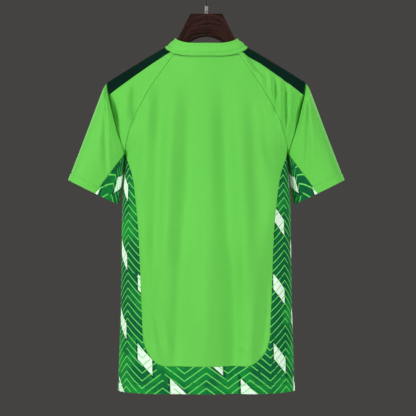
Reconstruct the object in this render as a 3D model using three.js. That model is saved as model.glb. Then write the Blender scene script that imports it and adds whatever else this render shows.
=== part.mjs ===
// Short-sleeved football jersey hanging on a wooden hanger, in millimetres.
// +Z is up, the back of the jersey faces -Y, and the origin is the inside top of the hook's bend.
import * as THREE from "three";

// Wall thicknesses and gaps
const CLOTH = 1.5; // knit panels
const RIB = 2.4; // doubled rib of the collar
const BAND = 1.0; // band laid on each shoulder
const SEAM = 0.3; // gap between neighbouring pieces

// Heights of the hem and of the green back panel's lower edge, and the point of the armpit
const HEM_Z = -899;
const PANEL_Z = -840;
const ARMPIT = { x: 178.9, z: -382 };

// Shoulder line: apex height, slope, and how softly it turns over at the neck
const RIDGE = { top: -114.8, slope: 0.655, turn: 60 };
const DRAPE = 250; // height over which the cloth falls from the ridge to its full depth
const ROUNDING = 110; // width over which each side rounds away
const CHEST = 56; // half depth from the armpit up

// Neck seam and collar top, in plan: half width, and reach to the back and to the front
const NECK = { half: 90.9, back: 34.5, front: 46.5 };
const COLLAR = { half: 69, back: 27, front: 38, riseSide: 19.8, riseMiddle: 28.3, swell: 1.2 };
const OVAL = { back: 2.67, front: 4 }; // how square the neck oval is

// Half width and half depth of the body at each height
const BODY = [
  { z: -382, half: 178.9, depth: 56 },
  { z: -404, half: 179.6, depth: 56 },
  { z: -440, half: 181.8, depth: 56.2 },
  { z: -495, half: 185, depth: 56.5 },
  { z: -690, half: 188, depth: 57 },
  { z: -800, half: 191, depth: 57.6 },
  { z: -899, half: 194.5, depth: 58 },
];

// Seam between the green panels and the patterned sides
const SIDE_SEAM = [
  { z: -382, x: 178.9 },
  { z: -422, x: 163.9 },
  { z: -460, x: 156.8 },
  { z: -545, x: 148.3 },
  { z: -633, x: 143.9 },
  { z: -765, x: 138.5 },
  { z: -899, x: 136 },
];
const CORNER = { x: 82.5, z: -765, across: 56, down: 75 }; // rounded bottom corner of the back panel

// Raglan seam, sleeve edges and cuff, as curves of control points on the wearer's right
const RAGLAN_X = 70; // where the raglan seam leaves the collar at the back
const RAGLAN_LEG = [
  { x: 105, z: -212 },
  { x: 172, z: -300 },
];
const SHOULDER_X = 218.5;
const SLEEVE_TOP = [
  { x: 232, z: -232.5 },
  { x: 243, z: -272 },
];
const SLEEVE_UNDER = { x: 190, z: -420 };
const CUFF_OUT = { x: 303, z: -437 };
const CUFF_IN = { x: 194, z: -491 };
const SLEEVE_DEPTH = { armhole: 47, cuff: 38 };
const GUSSET_SHARE = 0.566; // of the cuff's width, from the outer edge, where the gusset starts

// Band on the shoulder: how far its lower edge lies below the ridge, and the share left bare above it
const BAND_FALL = { neck: 18, armhole: 32.5 };
const BAND_BARE = 0.3;

// Largest folds: x at the top and bottom, heights, half width, and rise from the cloth
const FOLDS = [
  { side: 1, x0: -104, x1: -108, top: -225, bottom: -470, half: 20, rise: -3.2 },
  { side: 1, x0: -51, x1: -86, top: -210, bottom: -850, half: 22, rise: -3.6 },
  { side: 1, x0: 11, x1: 28, top: -200, bottom: -860, half: 22, rise: -3.4 },
  { side: 1, x0: 150, x1: 100, top: -400, bottom: -850, half: 24, rise: -4.5 },
  { side: 1, x0: -128, x1: -84, top: -690, bottom: -850, half: 18, rise: -2.8 },
  { side: 1, x0: -82, x1: -98, top: -240, bottom: -640, half: 18, rise: 2.0 },
  { side: 1, x0: -16, x1: -34, top: -240, bottom: -930, half: 26, rise: 3.0 },
  { side: 1, x0: 54, x1: 72, top: -240, bottom: -930, half: 26, rise: 3.0 },
  { side: -1, x0: -92, x1: -78, top: -290, bottom: -930, half: 26, rise: -4.0 },
  { side: -1, x0: -22, x1: -36, top: -300, bottom: -930, half: 24, rise: 3.2 },
  { side: -1, x0: 38, x1: 24, top: -310, bottom: -860, half: 22, rise: -3.4 },
  { side: -1, x0: 104, x1: 88, top: -280, bottom: -930, half: 28, rise: 3.4 },
];
const VALLEY = { half: 12, depth: 7 }; // fold where each sleeve turns down from the shoulder
const SLEEVE_FOLDS = [
  { at: 0.95, half: 0.16, from: 0.1, to: 0.72, rise: -2.6 },
  { at: 1.35, half: 0.2, from: 0.15, to: 0.95, rise: 2.2 },
  { at: -1.1, half: 0.2, from: 0.1, to: 0.85, rise: -2.6 },
];

// Hanger, ferrule and hook
const WOOD = { top: -72, topHalf: 35, neckX: 63.4, neckZ: -127, neckHalfThick: 8, armHalfThick: 10 };
const ARCH = { half: 56, top: -121.5, height: 60 };
const ARM = { start: 92, end: 206, endHeight: 31, clear: 2.8 };
const WOOD_EDGE = { neck: 2.5, arm: 8.5 };
const FERRULE = { radius: 3.5, height: 18.2 };
const HOOK = { wire: 2.4, bend: 20, joins: -15, ends: 200, straight: 11.5 };

const COLOURS = {
  knit: 0x6ed055,
  rib: 0x75d95b,
  print: 0x0c732e,
  band: 0x02241f,
  wood: 0x35231f,
  ferrule: 0xb4b3b1,
  hook: 0x141414,
};

const lerp = THREE.MathUtils.lerp;
const clamp = THREE.MathUtils.clamp;
const ease = (t) => THREE.MathUtils.smoothstep(t, 0, 1);
const evenly = (from, to, count) => Array.from({ length: count + 1 }, (_, i) => lerp(from, to, i / count));

// A value of a table at a height, on one smooth curve through its rows.
function along(rows, z, key) {
  const last = rows.length - 1;
  if (z >= rows[0].z) return rows[0][key];
  if (z <= rows[last].z) return rows[last][key];
  const i = rows.findIndex((row) => row.z < z) - 1;
  const slope = (j) => {
    const a = rows[Math.max(0, j - 1)];
    const b = rows[Math.min(last, j + 1)];
    return (b[key] - a[key]) / (b.z - a.z);
  };
  const span = rows[i + 1].z - rows[i].z;
  const t = (z - rows[i].z) / span;
  return (
    rows[i][key] * (1 + 2 * t) * (1 - t) ** 2 +
    slope(i) * span * t * (1 - t) ** 2 +
    rows[i + 1][key] * t * t * (3 - 2 * t) +
    slope(i + 1) * span * t * t * (t - 1)
  );
}

// A point of a Bezier curve, by its control points.
function bezier(points, t) {
  let row = points;
  while (row.length > 1)
    row = row.slice(1).map((p, i) => ({ x: lerp(row[i].x, p.x, t), z: lerp(row[i].z, p.z, t) }));
  return row[0];
}

// The place between low and high where a falling function reaches zero.
function root(f, low, high) {
  for (let i = 0; i < 40; i++) {
    const middle = (low + high) / 2;
    if (f(middle) > 0) low = middle;
    else high = middle;
  }
  return low;
}

// A row of a list at a place between two of its rows, value by value.
function between(rows, place) {
  const i = clamp(Math.floor(place), 0, rows.length - 2);
  const mixed = {};
  for (const key of Object.keys(rows[i])) mixed[key] = lerp(rows[i][key], rows[i + 1][key], place - i);
  return mixed;
}

// The body's surface. The square of its half depth at (x, z) is a quarter ellipse down from the
// ridge, times a quarter ellipse in from the side or the armpit, times the folded depth squared.
const ridgeZ = (x) => RIDGE.top - RIDGE.slope * (Math.hypot(x, RIDGE.turn) - RIDGE.turn);
const quarter = (t) => 1 - (1 - Math.min(1, t)) ** 2;
const SHOULDER = { x: SHOULDER_X, z: ridgeZ(SHOULDER_X) };

function inFromSide(x, z) {
  if (z > ARMPIT.z) return Math.hypot(Math.abs(x) - ARMPIT.x, z - ARMPIT.z);
  return along(BODY, z, "half") - Math.abs(x);
}

function foldAt(x, z, side) {
  let rise = 0;
  for (const f of FOLDS) {
    if (f.side !== side || z > f.top || z < f.bottom) continue;
    const share = (f.top - z) / (f.top - f.bottom);
    const centre = lerp(f.x0, f.x1, ease(share));
    const fade = ease(clamp(share / 0.3, 0, 1)) * ease(clamp((1 - share) / 0.2, 0, 1));
    rise += f.rise * fade * Math.exp(-(((x - centre) / f.half) ** 2));
  }
  const fall = clamp((SHOULDER.z - z) / (SHOULDER.z - ARMPIT.z), 0, 1);
  const seam = lerp(SHOULDER.x, ARMPIT.x, fall);
  const beside = (Math.abs(x) - seam) / VALLEY.half;
  return rise - VALLEY.depth * Math.sin(Math.PI * fall ** 0.8) * Math.exp(-(beside ** 2));
}

function square(x, z, side) {
  const depth = along(BODY, z, "depth");
  const down = quarter((ridgeZ(x) - z) / DRAPE);
  const inward = quarter(inFromSide(x, z) / ROUNDING);
  return down * inward * (depth + foldAt(x, z, side)) ** 2;
}

// A surface point and its outward normal. side is 1 on the back and -1 on the front.
function body(x, z, side) {
  const y = -side * Math.sqrt(Math.max(0, square(x, z, side)));
  const h = 0.2;
  const n = new THREE.Vector3(
    -(square(x + h, z, side) - square(x - h, z, side)) / (2 * h),
    2 * y,
    -(square(x, z + h, side) - square(x, z - h, side)) / (2 * h),
  );
  return { p: new THREE.Vector3(x, y, z), n: n.normalize() };
}

// Fall below the ridge after a turn over it, and the turn at a point.
const fallOf = (turn) => DRAPE * (1 - Math.cos(turn));
const turnOf = ({ x, z }) => Math.acos(clamp(1 - (ridgeZ(x) - z) / DRAPE, -1, 1));

// Neck seam: x at a turn, and turn and height at an x.
const reach = (side) => (side > 0 ? NECK.back : NECK.front);
const oval = (side) => (side > 0 ? OVAL.back : OVAL.front);
const neckShare = (turn, side) => Math.min(1, (CHEST * Math.sin(turn)) / reach(side));
const neckX = (turn, side) => NECK.half * Math.sqrt(1 - neckShare(turn, side) ** oval(side));
const neckTurn = (x, side) =>
  Math.asin((reach(side) / CHEST) * Math.max(0, 1 - (x / NECK.half) ** 2) ** (1 / oval(side)));
const neckZ = (x, side) => ridgeZ(x) - fallOf(neckTurn(x, side));

// Raglan seam on the wearer's right, from the collar to the armpit.
const RAGLAN = [{ x: RAGLAN_X, z: neckZ(RAGLAN_X, 1) }, ...RAGLAN_LEG, ARMPIT];
const aboveNeck = (t) => neckZ(bezier(RAGLAN, t).x, -1) - bezier(RAGLAN, t).z;
const FRONT_START = 1 - root((t) => aboveNeck(1 - t), 0, 1);
const raglan = (t, side) => bezier(RAGLAN, side > 0 ? t : lerp(FRONT_START, 1, t));
const RAGLAN_STEPS = [...evenly(0, 0.9, 8), 0.965];
const raglanRows = (side) => [...RAGLAN_STEPS, 1].reverse().map((t) => raglan(t, side));

// Side seams on the wearer's right, from the bottom up. The last row ends the patterned piece.
const TIP = 0.998;
const climb = (count) => [...evenly(0, 1, count).slice(0, -1).map((t) => 1 - (1 - t) ** 1.25), TIP];
const seamRow = (z) => ({ x: along(SIDE_SEAM, z, "x"), z });
const climbFrom = (bottom, count) => climb(count).map((share) => seamRow(lerp(bottom, ARMPIT.z, share)));
const cornerRows = evenly(Math.PI / 2, 0, 8).map((angle) => ({
  x: CORNER.x + CORNER.across * Math.cos(angle),
  z: CORNER.z - CORNER.down * Math.sin(angle),
}));
const SIDE_STEPS = 11;
const FRONT_TURN = 2; // steps that the hem still takes to reach the front seam
const backSide = [...cornerRows, ...climbFrom(CORNER.z, SIDE_STEPS).slice(1)];
const frontSide = climbFrom(HEM_Z, SIDE_STEPS - FRONT_TURN);

// Green panels. across runs from -1 to 1 and row from the bottom to the neck.
function panelOf(side) {
  const edge = [...(side > 0 ? backSide : frontSide), ...raglanRows(side)];
  const last = edge.length - 1;
  const top = edge[last];
  const surface = (across, row) => {
    const at = between(edge, row);
    const x = at.x * Math.sin((across * Math.PI) / 2);
    const share = ease(clamp(1 - (last - row) / (RAGLAN_STEPS.length + 2), 0, 1));
    return body(x, at.z + (neckZ(Math.min(Math.abs(x), top.x), side) - top.z) * share, side);
  };
  return { surface, rows: evenly(0, last, last) };
}
const PANEL_COLUMNS = evenly(-1, 1, 18);
const HALF_COLUMNS = evenly(0, 1, 9);
const panelX = (edgeX) => HALF_COLUMNS.map((c) => edgeX * Math.sin((c * Math.PI) / 2));

// Patterned piece, by distance round the body from its side edge, above zero towards the back.
const QUARTER_ROUND = (ROUNDING * Math.PI) / 2;
function roundOf({ x, z }) {
  const inside = along(BODY, z, "half") - x;
  if (inside > ROUNDING) return QUARTER_ROUND + inside - ROUNDING;
  return ROUNDING * Math.acos(1 - Math.max(0, inside) / ROUNDING);
}
function bodyRound(a, z, hand) {
  const r = Math.abs(a);
  const inside = r > QUARTER_ROUND ? ROUNDING + r - QUARTER_ROUND : ROUNDING * (1 - Math.cos(r / ROUNDING));
  return body(hand * (along(BODY, z, "half") - inside), z, a < 0 ? -1 : 1);
}
const HEM_SPREAD = { back: 131, front: -60 }; // round places where the rounded corner's rows meet the hem
const wrapRows = (() => {
  const hem = (a) => ({ a, z: HEM_Z });
  const underPanel = panelX(CORNER.x).slice(0, -1).map((x) => ({ x, z: PANEL_Z }));
  const inner = [...underPanel, ...backSide].map((p) => ({ a: roundOf(p), z: p.z }));
  const frontEdge = frontSide.map((p) => ({ a: -roundOf(p), z: p.z }));
  const middle = roundOf({ x: 0, z: HEM_Z });
  const outer = [
    ...underPanel.map(({ x }) => hem(lerp(middle, HEM_SPREAD.back, x / CORNER.x))),
    ...evenly(HEM_SPREAD.back, HEM_SPREAD.front, cornerRows.length - 1).map(hem),
    ...evenly(HEM_SPREAD.front, frontEdge[0].a, FRONT_TURN).slice(1, -1).map(hem),
    ...frontEdge,
  ];
  return inner.map((p, i) => ({ a0: p.a, z0: p.z, a1: outer[i].a, z1: outer[i].z }));
})();
function wrap(across, place) {
  const row = between(wrapRows, Math.abs(place));
  return bodyRound(lerp(row.a0, row.a1, across), lerp(row.z0, row.z1, across), place < 0 ? -1 : 1);
}

// Armhole seam: angle 0 at the shoulder and a half turn at the armpit.
const armhole = (angle) => {
  const share = (1 + Math.cos(angle)) / 2;
  return { x: lerp(ARMPIT.x, SHOULDER.x, share), z: lerp(ARMPIT.z, SHOULDER.z, share) };
};
const armholeAngle = (fall) => root((a) => fall - (ridgeZ(armhole(a).x) - armhole(a).z), 0, Math.PI / 2);

// Shoulder piece, in rows from the ridge to the armpit: an inner end on the neck or raglan seam
// and an outer end on the armhole seam. Rows below zero are on the front.
const BAND_STEPS = 5;
const CORNER_STEPS = 2;
const YOKE_STEPS = BAND_STEPS + CORNER_STEPS + RAGLAN_STEPS.length - 1;
const TURN = { neck: Math.acos(1 - BAND_FALL.neck / DRAPE), armhole: Math.acos(1 - BAND_FALL.armhole / DRAPE) };
const LAST_ANGLE = Math.PI - 0.11; // how near the armpit the shoulder and the sleeve reach
const armholeAngles = [
  ...evenly(0, TURN.armhole, BAND_STEPS).map((turn) => armholeAngle(fallOf(turn))),
  ...evenly(armholeAngle(BAND_FALL.armhole), LAST_ANGLE, YOKE_STEPS - BAND_STEPS).slice(1),
];
const yokeRows = (side) => {
  const corner = turnOf(raglan(0, side));
  const neck = [...evenly(0, TURN.neck, BAND_STEPS), ...evenly(TURN.neck, corner, CORNER_STEPS).slice(1)];
  const inner = [
    ...neck.map((turn) => ({ x: neckX(turn, side), turn })),
    ...RAGLAN_STEPS.slice(1).map((t) => ({ x: raglan(t, side).x, turn: turnOf(raglan(t, side)) })),
  ];
  return inner.map((p, i) => {
    const end = armhole(armholeAngles[i]);
    return { x0: p.x, turn0: p.turn, x1: end.x, turn1: turnOf(end) };
  });
};
const YOKE = { back: yokeRows(1), front: yokeRows(-1) };
function shoulder(across, place, hand) {
  const side = place < 0 ? -1 : 1;
  const row = between(side > 0 ? YOKE.back : YOKE.front, Math.abs(place));
  const x = lerp(row.x0, row.x1, across);
  return body(hand * x, ridgeZ(x) - fallOf(lerp(row.turn0, row.turn1, across)), side);
}

// Sleeve as rings from the armhole, 0, to the cuff, 1. Angle 0 is its top edge, above zero on the back.
const TOP_EDGE = [SHOULDER, ...SLEEVE_TOP, CUFF_OUT];
const UNDER_EDGE = [ARMPIT, SLEEVE_UNDER, CUFF_IN];
function sleevePoint(t, angle) {
  const share = (1 + Math.cos(angle)) / 2;
  const out = bezier(TOP_EDGE, t);
  const under = bezier(UNDER_EDGE, t);
  const start = armhole(angle);
  const side = Math.sin(angle) < 0 ? -1 : 1;
  const atSeam = side * Math.sqrt(Math.max(0, square(start.x, start.z, side)));
  let depth = lerp(SLEEVE_DEPTH.armhole, SLEEVE_DEPTH.cuff, t);
  for (const f of SLEEVE_FOLDS) {
    const place = clamp((t - f.from) / (f.to - f.from), 0, 1);
    depth += f.rise * Math.sin(Math.PI * place) * Math.exp(-(((angle - f.at) / f.half) ** 2));
  }
  const y = -lerp(atSeam, depth * Math.sin(angle), ease(clamp(t / 0.3, 0, 1)));
  return new THREE.Vector3(lerp(under.x, out.x, share), y, lerp(under.z, out.z, share));
}
function sleeve(t, angle, hand) {
  const h = 1e-3;
  const forward = sleevePoint(Math.min(1, t + h), angle).sub(sleevePoint(Math.max(0, t - h), angle));
  const round = sleevePoint(t, angle + h).sub(sleevePoint(t, angle - h));
  const own = new THREE.Vector3().crossVectors(round, forward).normalize();
  const folded = Math.acos(Math.cos(angle));
  const start = armhole(Math.min(folded, LAST_ANGLE));
  const seam = body(start.x, start.z, Math.sin(angle) < 0 ? -1 : 1).n;
  const n = seam.lerp(own, ease(clamp(t / 0.12, 0, 1))).normalize();
  const p = sleevePoint(t, angle);
  p.x *= hand;
  n.x *= hand;
  return { p, n };
}

// Angle of the seam between sleeve and gusset: a straight line from the armpit to the cuff.
const GUSSET_END = { x: lerp(CUFF_OUT.x, CUFF_IN.x, GUSSET_SHARE), z: lerp(CUFF_OUT.z, CUFF_IN.z, GUSSET_SHARE) };
function gussetAngle(t) {
  const out = bezier(TOP_EDGE, t);
  const under = bezier(UNDER_EDGE, t);
  const cross = (a, b) => a.x * b.z - a.z * b.x;
  const line = { x: GUSSET_END.x - ARMPIT.x, z: GUSSET_END.z - ARMPIT.z };
  const from = { x: under.x - ARMPIT.x, z: under.z - ARMPIT.z };
  const share = -cross(from, line) / cross({ x: out.x - under.x, z: out.z - under.z }, line);
  return Math.min(LAST_ANGLE, Math.acos(clamp(2 * share - 1, -1, 1)));
}

// Collar ring: round is an angle from the wearer's right round the back, up is 0 at the seam and 1 at the top.
function collarPoint(round, up) {
  const s = Math.sin(round);
  const side = s < 0 ? -1 : 1;
  const wide = Math.sign(Math.cos(round)) * Math.sqrt(Math.max(0, 1 - Math.abs(s) ** oval(side)));
  const x = NECK.half * wide;
  const turn = Math.asin((reach(side) * Math.abs(s)) / CHEST);
  const low = new THREE.Vector3(x, -reach(side) * s, ridgeZ(x) - fallOf(turn));
  const rise = lerp(COLLAR.riseSide, COLLAR.riseMiddle, Math.abs(s));
  const high = new THREE.Vector3(COLLAR.half * wide, -(side > 0 ? COLLAR.back : COLLAR.front) * s, low.z + rise);
  const away = new THREE.Vector3(wide, -s, 0.3).normalize();
  return low.lerp(high, up).addScaledVector(away, COLLAR.swell * Math.sin(Math.PI * up));
}
function collar(round, up) {
  const h = 1e-3;
  const across = collarPoint(round + h, up).sub(collarPoint(round - h, up));
  const rise = collarPoint(round, Math.min(1, up + h)).sub(collarPoint(round, Math.max(0, up - h)));
  const own = new THREE.Vector3().crossVectors(rise, across).normalize();
  const foot = collarPoint(round, 0);
  const seam = body(foot.x, foot.z, Math.sin(round) < 0 ? -1 : 1).n;
  return { p: collarPoint(round, up), n: seam.lerp(own, ease(clamp(up / 0.5, 0, 1))).normalize() };
}
// The ring's columns are the ends of the rows and columns of the pieces sewn to it.
function collarQuarter(side) {
  const rows = (side > 0 ? YOKE.back : YOKE.front).slice(0, BAND_STEPS + CORNER_STEPS + 1);
  const columns = panelX(raglan(0, side).x).reverse().slice(1);
  const turns = [...rows.map((row) => row.turn0), ...columns.map((x) => neckTurn(x, side))];
  return turns.map((turn) => Math.asin(neckShare(turn, side)));
}

function geometryOf(points, faces) {
  const geometry = new THREE.BufferGeometry();
  const numbers = new Float32Array(points.flatMap((p) => p.toArray()));
  geometry.setAttribute("position", new THREE.BufferAttribute(numbers, 3));
  const six = ([a, b, c]) => points[a].dot(new THREE.Vector3().crossVectors(points[b], points[c]));
  const volume = faces.reduce((sum, face) => sum + six(face), 0);
  geometry.setIndex((volume < 0 ? faces.map(([a, b, c]) => [a, c, b]) : faces).flat());
  return geometry;
}

// Closed wall over a grid of surface points. Edges are drawn in by half a seam, and lift moves
// the wall out from the surface. A closed wall joins its last column to its first.
function wall(surface, us, vs, { thick = CLOTH, lift = 0, closed = false } = {}) {
  const drawnIn = (list, i, pointAt) => {
    if (i > 0 && i < list.length - 1) return list[i];
    const next = list[i === 0 ? 1 : i - 1];
    const left = (share) => SEAM / 2 - pointAt(lerp(list[i], next, share)).distanceTo(pointAt(list[i]));
    return lerp(list[i], next, root(left, 0, 1));
  };
  const outside = [];
  const inside = [];
  us.forEach((u0, i) => {
    vs.forEach((v0, j) => {
      const u = closed ? u0 : drawnIn(us, i, (at) => surface(at, v0).p);
      const v = drawnIn(vs, j, (at) => surface(u, at).p);
      const { p, n } = surface(u, v);
      outside.push(p.clone().addScaledVector(n, lift));
      inside.push(p.clone().addScaledVector(n, lift - thick));
    });
  });
  const rows = vs.length;
  const columns = us.length;
  const total = outside.length;
  const at = (i, j) => (i % columns) * rows + j;
  const faces = [];
  const quad = (a, b, c, d) => faces.push([a, b, c], [a, c, d]);
  for (let i = 0; i < (closed ? columns : columns - 1); i++) {
    for (let j = 0; j < rows - 1; j++) {
      quad(at(i, j), at(i + 1, j), at(i + 1, j + 1), at(i, j + 1));
      quad(total + at(i, j), total + at(i, j + 1), total + at(i + 1, j + 1), total + at(i + 1, j));
    }
    quad(at(i, 0), total + at(i, 0), total + at(i + 1, 0), at(i + 1, 0));
    quad(at(i, rows - 1), at(i + 1, rows - 1), total + at(i + 1, rows - 1), total + at(i, rows - 1));
  }
  for (let j = 0; !closed && j < rows - 1; j++) {
    const last = columns - 1;
    quad(at(0, j), at(0, j + 1), total + at(0, j + 1), total + at(0, j));
    quad(at(last, j), total + at(last, j), total + at(last, j + 1), at(last, j + 1));
  }
  return geometryOf([...outside, ...inside], faces);
}

// One half of the wooden hanger: rounded sections from the middle joint to the arm's end.
const ARM_START_Z = ridgeZ(ARM.start) - ARM.clear;
function woodTop(x) {
  if (x <= WOOD.topHalf) return WOOD.top;
  if (x <= WOOD.neckX) return lerp(WOOD.top, WOOD.neckZ, (x - WOOD.topHalf) / (WOOD.neckX - WOOD.topHalf));
  if (x >= ARM.start) return ridgeZ(x) - ARM.clear;
  return lerp(WOOD.neckZ, ARM_START_Z, quarter((x - WOOD.neckX) / (ARM.start - WOOD.neckX)));
}
function woodBottom(x) {
  const crown = ARCH.top - ARCH.height;
  if (x < ARCH.half) return crown + ARCH.height * Math.sqrt(1 - (x / ARCH.half) ** 2);
  const end = ridgeZ(ARM.end) - ARM.clear - ARM.endHeight;
  return lerp(crown, end, (x - ARCH.half) / (ARM.end - ARCH.half));
}
const WOOD_PLACES = [
  ...evenly(SEAM / 2, WOOD.topHalf, 4),
  ...evenly(WOOD.topHalf, 54, 4).slice(1),
  ...[55.5, 57, 60, WOOD.neckX],
  ...evenly(WOOD.neckX, ARM.start, 5).slice(1),
  ...evenly(ARM.start, ARM.end - 9, 6).slice(1),
  ...[ARM.end - 6, ARM.end - 3, ARM.end - 1, ARM.end],
];
function hangerHalf(hand) {
  const perCorner = 3;
  const points = WOOD_PLACES.flatMap((x) => {
    const tip = clamp((ARM.end - x) / 9, 0, 1);
    const shrink = 0.35 + 0.65 * Math.sqrt(1 - (1 - tip) ** 2);
    const share = ease(clamp((x - 50) / 60, 0, 1));
    const thick = lerp(WOOD.neckHalfThick, WOOD.armHalfThick, share) * shrink;
    const edge = Math.min(lerp(WOOD_EDGE.neck, WOOD_EDGE.arm, share), thick - 0.4);
    const middle = (woodTop(x) + woodBottom(x)) / 2;
    const high = ((woodTop(x) - woodBottom(x)) / 2) * shrink;
    return [0, 1, 2, 3].flatMap((corner) =>
      evenly(corner, corner + 1, perCorner - 1).map((turn) => {
        const angle = (turn * Math.PI) / 2;
        const y = (corner === 0 || corner === 3 ? 1 : -1) * (thick - edge) + edge * Math.cos(angle);
        const z = (corner < 2 ? 1 : -1) * (high - edge) + edge * Math.sin(angle);
        return new THREE.Vector3(hand * x, y, middle + z);
      }),
    );
  });
  const ring = perCorner * 4;
  const faces = [];
  for (let i = 0; i < WOOD_PLACES.length - 1; i++) {
    for (let j = 0; j < ring; j++) {
      const k = (j + 1) % ring;
      const [a, b, c, d] = [i * ring + j, (i + 1) * ring + j, (i + 1) * ring + k, i * ring + k];
      faces.push([a, b, c], [a, c, d]);
    }
  }
  const last = (WOOD_PLACES.length - 1) * ring;
  for (let j = 1; j < ring - 1; j++) faces.push([0, j, j + 1], [last, last + j + 1, last + j]);
  return geometryOf(points, faces);
}

function ferrule() {
  const { radius, height } = FERRULE;
  const profile = [
    [0, 0],
    [radius, 0],
    [radius, height - 1],
    [radius - 1, height],
    [0, height],
  ].map(([r, z]) => new THREE.Vector2(r, z));
  const geometry = new THREE.LatheGeometry(profile, 16);
  geometry.rotateX(Math.PI / 2);
  geometry.translate(0, 0, WOOD.top + SEAM);
  return geometry;
}

// Hook wire: straight up from the ferrule, out to one side, and round over the seat.
function hook() {
  const { wire, bend, joins, ends, straight } = HOOK;
  const round = (degrees) => {
    const angle = THREE.MathUtils.degToRad(degrees);
    return { x: bend * Math.cos(angle), z: wire - bend + bend * Math.sin(angle) };
  };
  const foot = WOOD.top + FERRULE.height + 2 * SEAM;
  const join = round(joins);
  const lean = THREE.MathUtils.degToRad(-joins);
  const before = { x: join.x - 9 * Math.sin(lean), z: join.z - 9 * Math.cos(lean) };
  const swing = [{ x: 0, z: foot + straight }, { x: 0, z: foot + straight + 11 }, before, join];
  const line = [
    ...evenly(foot, foot + straight, 3).map((z) => ({ x: 0, z })),
    ...evenly(0, 1, 10).slice(1).map((t) => bezier(swing, t)),
    ...evenly(joins, ends, 22).slice(1).map(round),
  ];
  const path = new THREE.CatmullRomCurve3(line.map(({ x, z }) => new THREE.Vector3(x, 0, z)));
  const section = new THREE.Shape();
  section.absarc(0, 0, wire, 0, 2 * Math.PI);
  return new THREE.ExtrudeGeometry(section, { steps: 32, curveSegments: 4, bevelEnabled: false, extrudePath: path });
}

const jersey = new THREE.Group();
function add(name, geometry, colour, roughness, metalness = 0) {
  const material = new THREE.MeshStandardMaterial({ color: COLOURS[colour], roughness, metalness });
  const mesh = new THREE.Mesh(geometry, material);
  mesh.name = name;
  jersey.add(mesh);
}

const back = panelOf(1);
add("back_panel", wall(back.surface, PANEL_COLUMNS, back.rows), "knit", 0.8);
const front = panelOf(-1);
add("front_panel", wall(front.surface, PANEL_COLUMNS, front.rows), "knit", 0.8);

const lastWrap = wrapRows.length - 1;
add("side_and_hem_panel", wall(wrap, evenly(0, 1, 9), evenly(-lastWrap, lastWrap, 2 * lastWrap)), "print", 0.8);

const YOKE_PLACES = evenly(-YOKE_STEPS, YOKE_STEPS, 2 * YOKE_STEPS);
const BAND_PLACES = [BAND_STEPS * BAND_BARE, ...evenly(0, BAND_STEPS, BAND_STEPS).slice(2)];
const ACROSS = evenly(0, 1, 6);
const SLEEVE_STEPS = [...evenly(0, 0.3, 4), ...evenly(0.3, 1, 5).slice(1)];
const GUSSET_TOP = 0.014; // clear of the armpit point
const sleeveAngles = [...armholeAngles.slice(1).reverse().map((a) => -a), ...armholeAngles];
for (const [side, hand] of [["left", -1], ["right", 1]]) {
  const over = (u, v) => shoulder(u, v, hand);
  add(`shoulder_${side}`, wall(over, ACROSS, YOKE_PLACES), "knit", 0.8);
  add(`shoulder_band_${side}`, wall(over, ACROSS, BAND_PLACES, { thick: BAND, lift: SEAM + BAND }), "band", 0.75);
  const tube = (t, w) => sleeve(t, w * gussetAngle(t), hand);
  add(`sleeve_${side}`, wall(tube, SLEEVE_STEPS, sleeveAngles.map((a) => a / LAST_ANGLE)), "knit", 0.8);
  const under = (t, w) => sleeve(t, lerp(gussetAngle(t), 2 * Math.PI - gussetAngle(t), w), hand);
  add(`gusset_${side}`, wall(under, [GUSSET_TOP, ...SLEEVE_STEPS.slice(1)], evenly(0, 1, 10)), "print", 0.8);
}

const quarterBack = collarQuarter(1);
const quarterFront = collarQuarter(-1);
const rounds = [
  ...quarterBack,
  ...quarterBack.slice(0, -1).reverse().map((r) => Math.PI - r),
  ...quarterFront.slice(1).map((r) => Math.PI + r),
  ...quarterFront.slice(1, -1).reverse().map((r) => 2 * Math.PI - r),
];
add("collar", wall(collar, rounds, evenly(0, 1, 4), { thick: RIB, closed: true }), "rib", 0.85);
add("hanger_left", hangerHalf(-1), "wood", 0.45);
add("hanger_right", hangerHalf(1), "wood", 0.45);
add("hook_ferrule", ferrule(), "ferrule", 0.3, 1);
add("hook_wire", hook(), "hook", 0.35, 1);

export default jersey;
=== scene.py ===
import math

import bpy
import numpy as np
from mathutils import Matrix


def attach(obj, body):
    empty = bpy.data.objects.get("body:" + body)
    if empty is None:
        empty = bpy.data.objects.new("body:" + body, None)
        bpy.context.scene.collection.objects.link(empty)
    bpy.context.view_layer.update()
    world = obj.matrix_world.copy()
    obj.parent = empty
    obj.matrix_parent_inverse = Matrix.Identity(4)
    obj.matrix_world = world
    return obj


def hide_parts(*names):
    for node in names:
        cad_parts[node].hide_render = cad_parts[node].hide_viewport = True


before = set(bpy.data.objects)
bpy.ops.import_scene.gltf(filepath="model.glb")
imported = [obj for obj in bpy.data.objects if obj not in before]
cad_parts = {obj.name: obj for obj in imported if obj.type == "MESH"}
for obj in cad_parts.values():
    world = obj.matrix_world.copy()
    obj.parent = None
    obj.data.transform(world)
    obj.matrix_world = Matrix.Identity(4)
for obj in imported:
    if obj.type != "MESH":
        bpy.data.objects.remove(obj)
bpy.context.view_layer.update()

# Football jersey on a wooden hanger. Forms are worked out in millimetres in the same frame as the
# solids and scaled to metres when the meshes are made.
MM = 0.001
CLOTH = 1.0  # thickness of a knit panel
RIB = 2.2  # thickness of the doubled collar
SEAM_HALF = 0.1  # how far each edge is drawn back from its seam

# Body: z of the hem and of the back panel's lower edge, and x and z of an armpit
HEM_Z = -899.0
PANEL_Z = -840.0
ARMPIT = (178.9, -382.0)
# Shoulder line, with a round top at the middle, and the height and width in which the cloth
# reaches its full half depth
RIDGE = {"top": -114.8, "slope": 0.655, "turn": 60.0}
SHOULDER_X = 218.5
DRAPE = 250.0
ROUNDING = 110.0
CHEST = 56.0
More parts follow.
